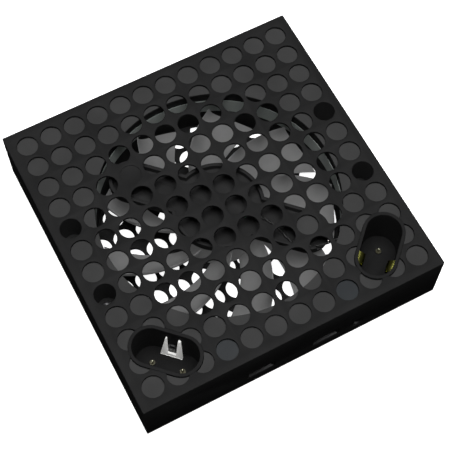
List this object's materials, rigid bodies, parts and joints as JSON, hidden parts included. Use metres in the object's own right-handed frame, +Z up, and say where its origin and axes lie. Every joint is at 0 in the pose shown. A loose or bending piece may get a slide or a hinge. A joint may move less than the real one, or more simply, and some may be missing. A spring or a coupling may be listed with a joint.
{
  "type": "fan-cooled charging dock",
  "caption": "Flat square fan dock with a perforated top, a wide axial fan under it, two slanted charging sockets and ports along the front.",
  "frame": {"origin": "middle of the footprint at the underside of the rubber feet", "axes": "+Z up, +X right along the front edge, -Y towards the front face with the ports"},
  "size_m": [0.15, 0.15, 0.0328],
  "materials": {
    "case_black": "fine matt texture",
    "baffle_grey": "fine matt texture",
    "seal_foam": "closed-cell foam",
    "duct_grey": "satin smoke plastic",
    "bracket_black": "satin",
    "screw_steel": "dark zinc",
    "sleeve_bronze": "sintered bronze",
    "core_steel": "stacked laminations",
    "coil_copper": "enamelled copper wire",
    "board_green": "solder mask",
    "wire_black": "satin",
    "wire_red": "satin",
    "rotor_grey": "satin",
    "magnet_dark": "bonded ferrite",
    "shaft_steel": "ground",
    "clip_white": "satin",
    "pin_brass": "gold plated",
    "leaf_gold": "gold plated spring strip",
    "tongue_black": "satin",
    "port_steel": "nickel plated",
    "window_smoke": "smoked clear",
    "led_white": "moulded lens",
    "cap_blue": "sleeved can",
    "foot_rubber": "matt rubber"
  },
  "bodies": {
    "housing": {"top_cover": "case_black", "bottom_cover": "case_black", "vent_baffle": "baffle_grey", "duct_seal": "seal_foam", "fan_duct": "duct_grey", "duct_base": "bracket_black", "motor_bracket": "bracket_black", "bracket_spacer": "baffle_grey", "bracket_screws": "screw_steel", "bearing_sleeve": "sleeve_bronze", "stator_core": "core_steel", "stator_coils": "coil_copper", "motor_board": "board_green", "fan_wires": "wire_black", "left_socket": "case_black", "right_socket": "case_black", "left_contact_board": "board_green", "right_contact_board": "board_green", "left_pin_barrels": "pin_brass", "right_pin_barrels": "pin_brass", "left_spring_front": "shaft_steel", "left_spring_back": "shaft_steel", "right_spring_front": "shaft_steel", "right_spring_back": "shaft_steel", "connector_clip": "clip_white", "connector_tongue": "tongue_black", "leaf_contact_inner": "leaf_gold", "leaf_contact_outer": "leaf_gold", "left_socket_wires": "wire_red", "right_socket_wires": "wire_red", "main_board": "board_green", "left_port": "port_steel", "left_port_tongue": "tongue_black", "right_port": "port_steel", "right_port_tongue": "tongue_black", "power_jack": "tongue_black", "jack_pin": "shaft_steel", "left_light_pipe": "window_smoke", "right_light_pipe": "window_smoke", "left_led": "led_white", "right_led": "led_white", "controller_chip": "tongue_black", "power_inductor": "tongue_black", "capacitors": "cap_blue", "board_screws": "screw_steel", "case_screws": "screw_steel", "feet": "foot_rubber"},
    "fan_rotor": {"rotor": "rotor_grey", "magnet_ring": "magnet_dark", "rotor_shaft": "shaft_steel", "shaft_clip": "clip_white"},
    "left_pin_front_body": {"left_pin_front": "pin_brass"},
    "left_pin_back_body": {"left_pin_back": "pin_brass"},
    "right_pin_front_body": {"right_pin_front": "pin_brass"},
    "right_pin_back_body": {"right_pin_back": "pin_brass"}
  },
  "joints": [
    {"name": "fan_spin", "type": "hinge", "parent": "housing", "child": "fan_rotor", "pos_m": [0, 0, 0.0139], "axis": [0, 0, 1], "continuous": true},
    {"name": "left_pin_front_press", "type": "slide", "parent": "housing", "child": "left_pin_front_body", "axis": [0, 0, -1], "range_m": [0, 0.0012], "stiffness_N_per_m": 400, "deforming": ["left_spring_front"]},
    {"name": "left_pin_back_press", "type": "slide", "parent": "housing", "child": "left_pin_back_body", "axis": [0, 0, -1], "range_m": [0, 0.0012], "stiffness_N_per_m": 400, "deforming": ["left_spring_back"]},
    {"name": "right_pin_front_press", "type": "slide", "parent": "housing", "child": "right_pin_front_body", "axis": [0, 0, -1], "range_m": [0, 0.0012], "stiffness_N_per_m": 400, "deforming": ["right_spring_front"]},
    {"name": "right_pin_back_press", "type": "slide", "parent": "housing", "child": "right_pin_back_body", "axis": [0, 0, -1], "range_m": [0, 0.0012], "stiffness_N_per_m": 400, "deforming": ["right_spring_back"]}
  ]
}
